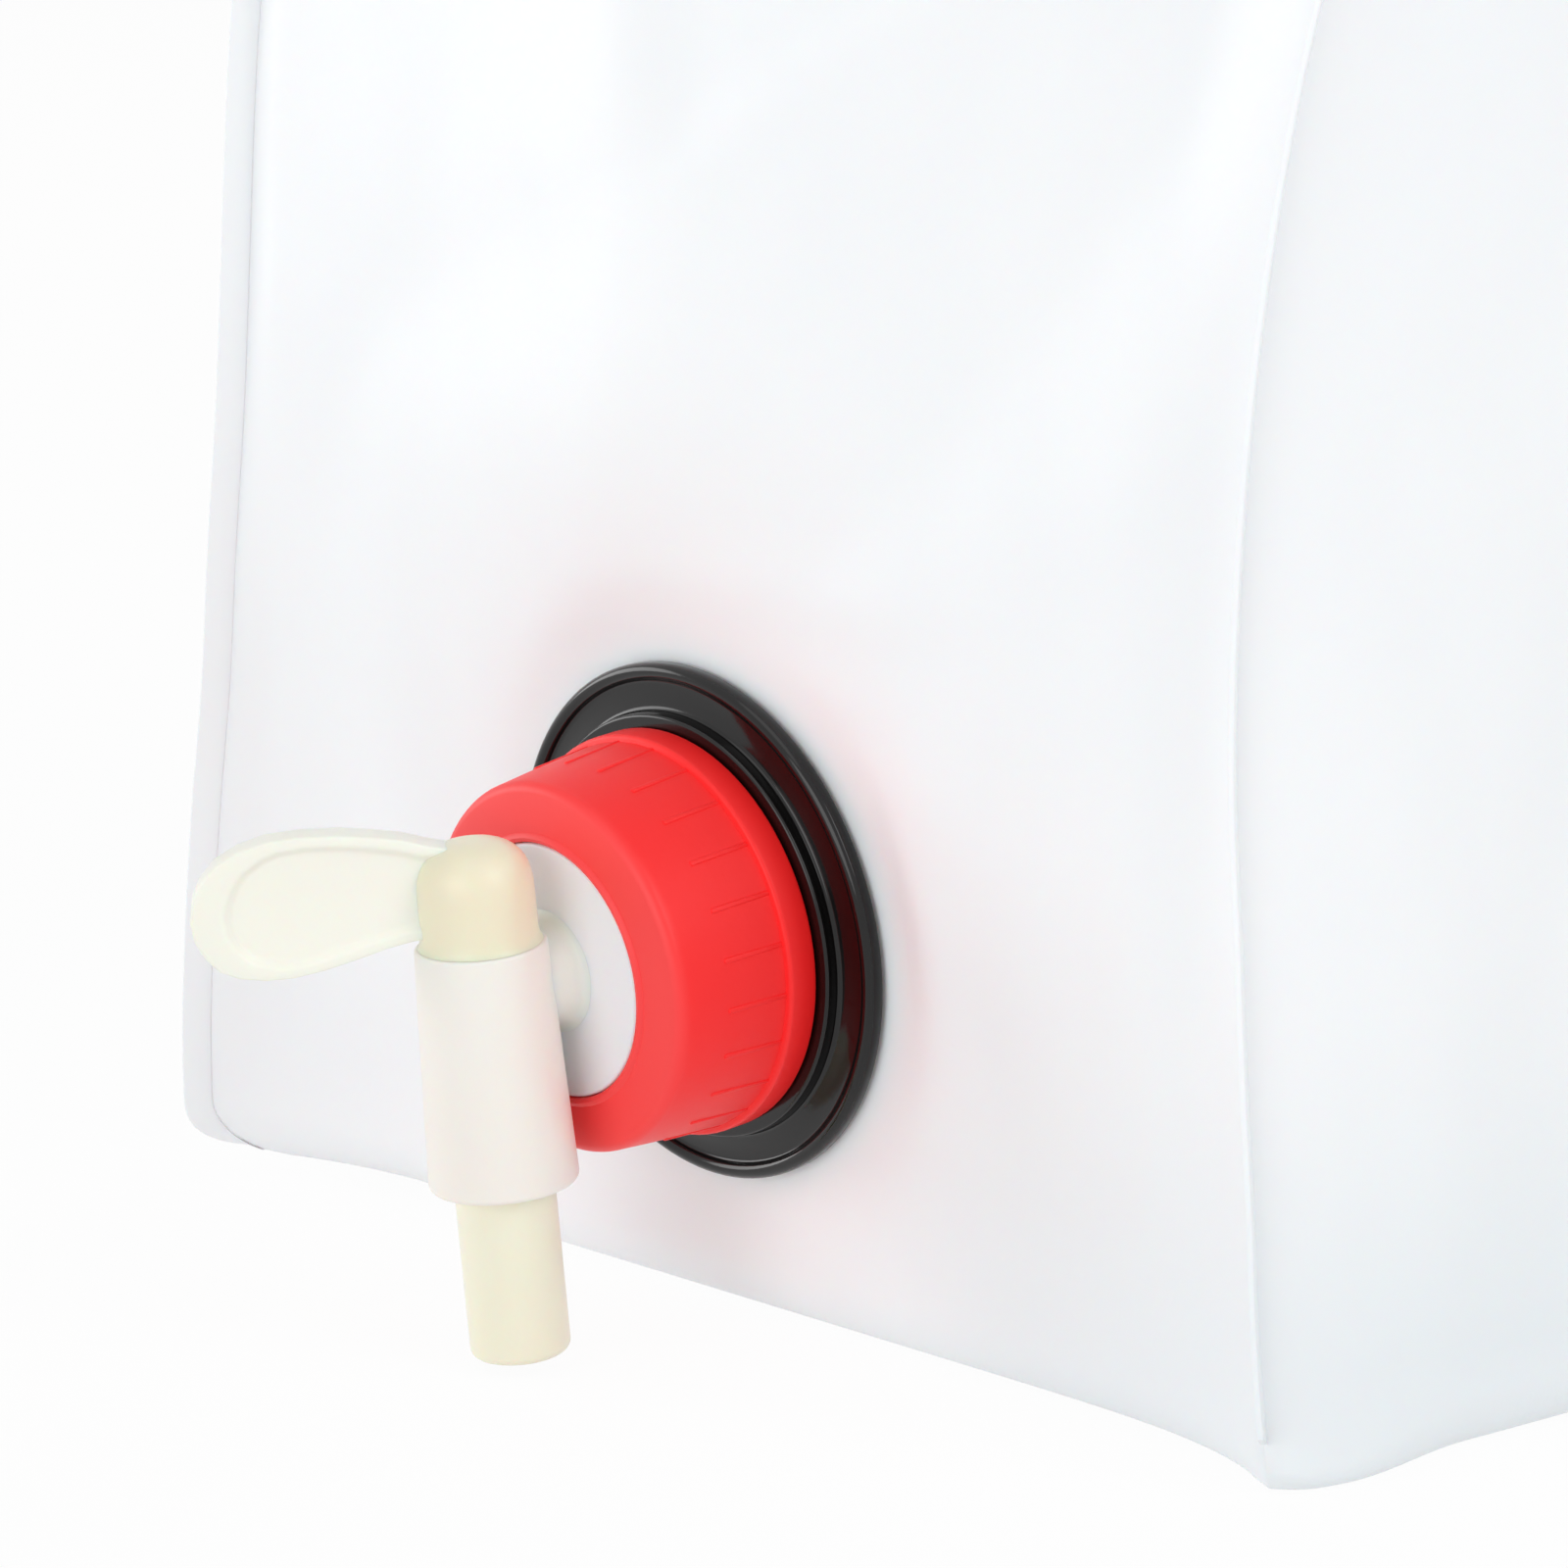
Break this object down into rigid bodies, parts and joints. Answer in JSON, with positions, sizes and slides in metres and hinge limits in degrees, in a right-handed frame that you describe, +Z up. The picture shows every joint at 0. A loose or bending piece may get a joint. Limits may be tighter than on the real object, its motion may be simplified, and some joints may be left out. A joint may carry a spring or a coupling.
{
  "type": "collapsible detergent container with tap",
  "caption": "Soft film container with a clamped mouth, a screwed ring nut, a quarter-turn lever tap and a carrying handle on the top seam.",
  "frame": {"origin": "middle of the base, on the surface that the container stands on", "axes": "+Z up, -Y out of the front panel that carries the tap, +X to the right seen from the front"},
  "size_m": [0.2486, 0.2605, 0.428],
  "materials": {
    "film": "soft frosted translucent film",
    "black_fitting": "glossy black moulding",
    "clear_gasket": "soft clear gasket",
    "red_nut": "satin red moulding",
    "white_tap": "satin white moulding, slightly translucent",
    "cream_lever": "satin cream moulding",
    "black_seal": "matt rubber",
    "black_handle": "satin black moulding"
  },
  "bodies": {
    "root": {"front_panel": "film", "back_panel": "film", "left_side_panel": "film", "right_side_panel": "film", "bottom_panel": "film", "spout_neck": "black_fitting", "inner_film_gasket": "clear_gasket", "outer_film_gasket": "clear_gasket", "outer_flange": "black_fitting", "handle_front": "black_handle", "handle_back": "black_handle"},
    "tap": {"tap_body": "white_tap", "mouth_gasket": "clear_gasket"},
    "nut": {"ring_nut": "red_nut"},
    "plug": {"lever_plug": "cream_lever", "upper_o_ring": "black_seal", "lower_o_ring": "black_seal"}
  },
  "joints": [
    {"name": "tap_draw", "type": "slide", "parent": "root", "child": "tap", "axis": [0, -0.9938, -0.1115], "range_m": [0, 0.015]},
    {"name": "nut_turn", "type": "hinge", "parent": "tap", "child": "nut", "pos_m": [0, -0.10459, 0.0586], "axis": [0, -0.9938, -0.1115], "range_deg": [0, 900]},
    {"name": "lever_turn", "type": "hinge", "parent": "tap", "child": "plug", "pos_m": [0, -0.12894, 0.05587], "axis": [0, -0.1115, 0.9938], "range_deg": [-52, 38]}
  ],
  "couplings": [
    {"joint": "tap_draw", "follows": "nut_turn", "m_per_rad": 0.00095493}
  ]
}
